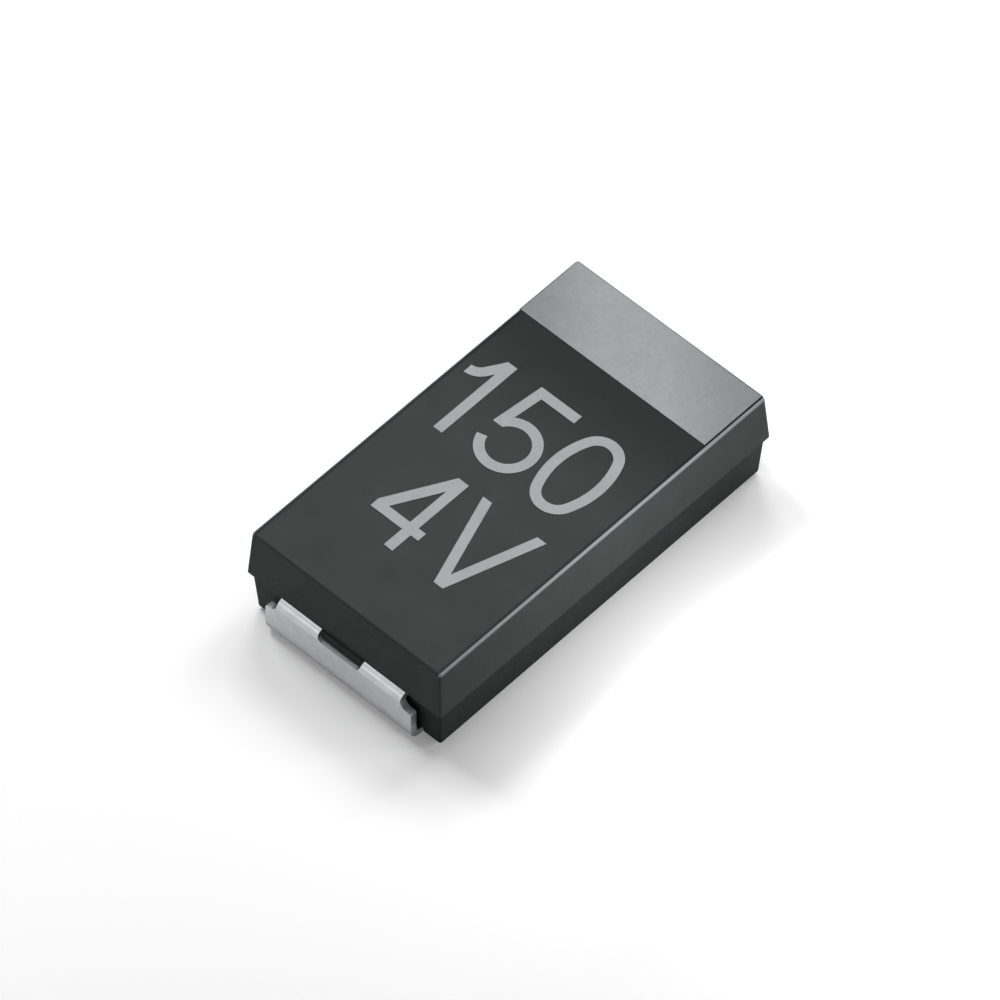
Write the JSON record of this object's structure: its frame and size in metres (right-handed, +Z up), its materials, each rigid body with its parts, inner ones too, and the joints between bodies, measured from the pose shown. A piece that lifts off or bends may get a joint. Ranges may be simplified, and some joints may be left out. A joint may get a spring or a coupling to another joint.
{
  "type": "tantalum capacitor",
  "caption": "Low-profile moulded surface-mount tantalum capacitor with folded end terminals, a stepped parting line and a pale polarity band at the anode end.",
  "frame": {"origin": "bottom centre of the box, on the board plane under the terminal pads", "axes": "+X along the length towards the anode, the end with the polarity band; +Y across the width; +Z up from the board"},
  "size_m": [0.006, 0.0032, 0.0015],
  "materials": {
    "moulding_compound": "fine matt moulded epoxy",
    "tinned_lead_frame": "matt tin plating",
    "marking_ink": "flat light grey ink",
    "tantalum": "dull blue-grey drawn wire",
    "sintered_tantalum": "porous sintered metal",
    "fluoropolymer": "waxy white",
    "manganese_dioxide": "dull black crystalline coat",
    "graphite": "dark grey carbon coat",
    "silver_paint": "matt silver paint"
  },
  "bodies": {
    "root": {"moulded_case": "moulding_compound", "polarity_band": "marking_ink", "cathode_terminal": "tinned_lead_frame", "anode_terminal": "tinned_lead_frame", "tantalum_pellet": "sintered_tantalum", "anode_wire": "tantalum", "wire_washer": "fluoropolymer", "manganese_dioxide_coat": "manganese_dioxide", "graphite_coat": "graphite", "silver_coat": "silver_paint", "silver_adhesive": "silver_paint"}
  },
  "joints": []
}
